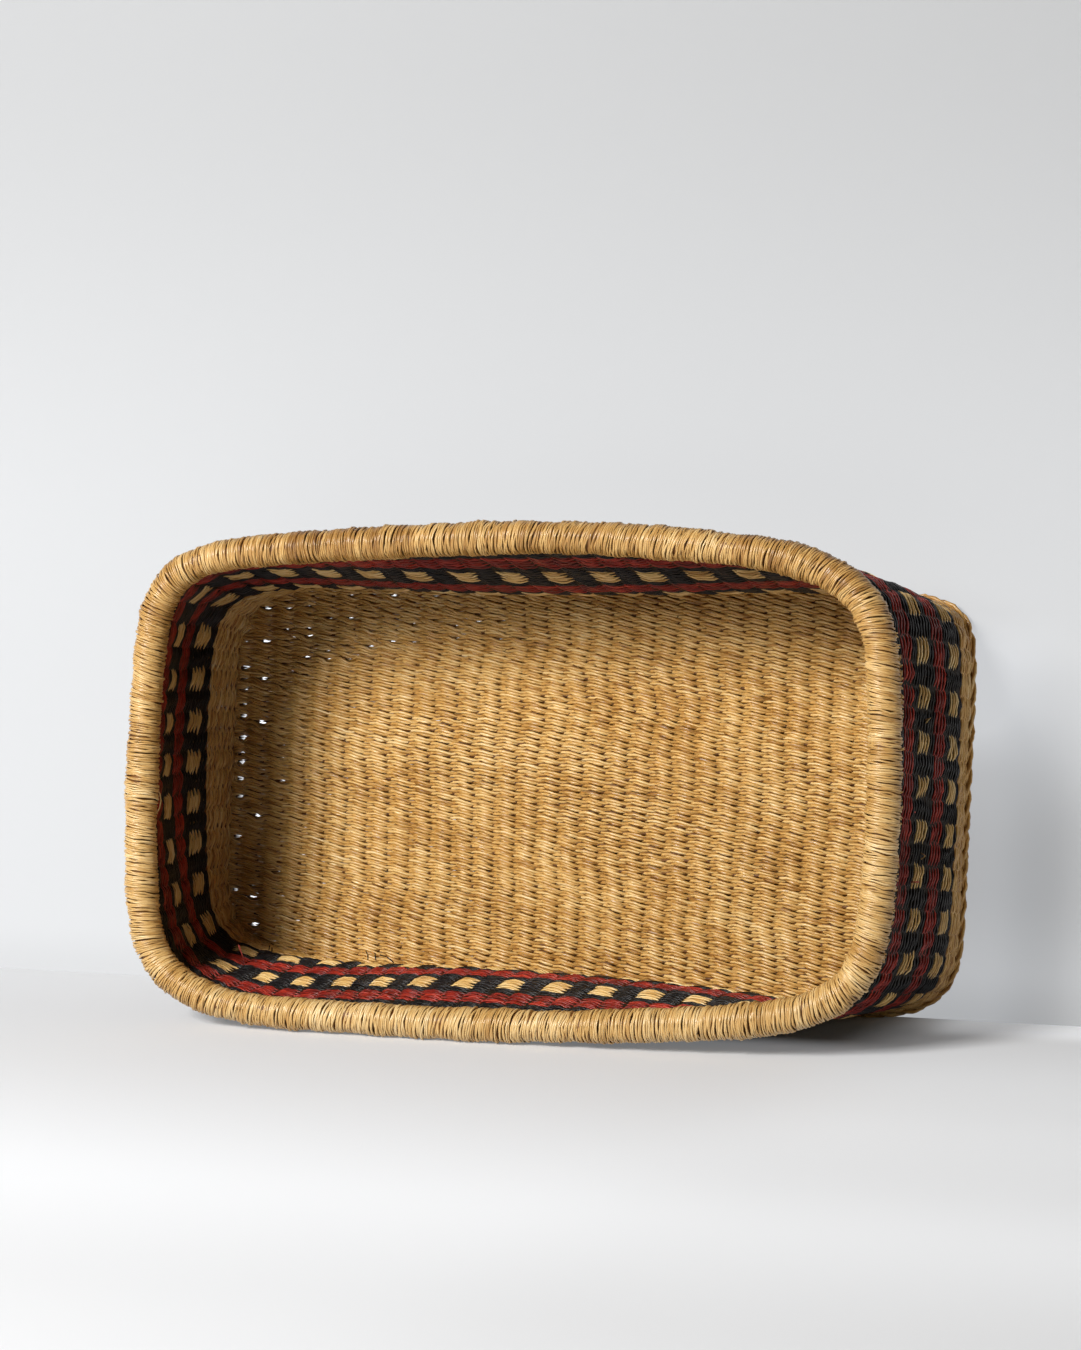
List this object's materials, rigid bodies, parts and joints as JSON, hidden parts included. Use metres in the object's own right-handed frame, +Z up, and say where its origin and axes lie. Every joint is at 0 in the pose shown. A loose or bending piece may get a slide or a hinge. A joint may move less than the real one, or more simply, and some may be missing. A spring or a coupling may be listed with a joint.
{
  "type": "storage basket",
  "caption": "Rectangular open storage basket of twined grass straw, with striped and dotted walls and a thick straw-wrapped rim.",
  "frame": {"origin": "middle of the flat underside of the base", "axes": "+Z up out of the mouth, +X along the long sides, +Y along the short sides"},
  "size_m": [0.49, 0.2994, 0.1596],
  "materials": {
    "natural_straw": "natural dried straw, twined, soft sheen",
    "red_straw": "straw dyed brick red, twined, soft sheen",
    "black_straw": "straw dyed blue-black with natural dots, twined",
    "stake_straw": "stiff dried grass stalks, hidden by the weft",
    "rim_straw": "fine straw wound closely round the rim, light gloss"
  },
  "bodies": {
    "root": {"base_border": "natural_straw", "base_weft_bottom": "natural_straw", "base_weft_top": "natural_straw", "cross_stake_01": "stake_straw", "cross_stake_02": "stake_straw", "cross_stake_03": "stake_straw", "cross_stake_04": "stake_straw", "cross_stake_05": "stake_straw", "cross_stake_06": "stake_straw", "cross_stake_07": "stake_straw", "cross_stake_08": "stake_straw", "cross_stake_09": "stake_straw", "cross_stake_10": "stake_straw", "cross_stake_11": "stake_straw", "cross_stake_12": "stake_straw", "cross_stake_13": "stake_straw", "cross_stake_14": "stake_straw", "cross_stake_15": "stake_straw", "cross_stake_16": "stake_straw", "cross_stake_17": "stake_straw", "cross_stake_18": "stake_straw", "cross_stake_19": "stake_straw", "cross_stake_20": "stake_straw", "cross_stake_21": "stake_straw", "cross_stake_22": "stake_straw", "cross_stake_23": "stake_straw", "cross_stake_24": "stake_straw", "cross_stake_25": "stake_straw", "cross_stake_26": "stake_straw", "cross_stake_27": "stake_straw", "cross_stake_28": "stake_straw", "cross_stake_29": "stake_straw", "cross_stake_30": "stake_straw", "cross_stake_31": "stake_straw", "dotted_band_high_inner": "black_straw", "dotted_band_high_outer": "black_straw", "dotted_band_low_inner": "black_straw", "dotted_band_low_outer": "black_straw", "dotted_band_mid_inner": "black_straw", "dotted_band_mid_outer": "black_straw", "end_stakes_left": "stake_straw", "end_stakes_right": "stake_straw", "natural_band_inner": "natural_straw", "natural_band_outer": "natural_straw", "red_band_high_inner": "red_straw", "red_band_high_outer": "red_straw", "red_band_low_inner": "red_straw", "red_band_low_outer": "red_straw", "rim_core": "stake_straw", "rim_wrap": "rim_straw"}
  },
  "joints": []
}
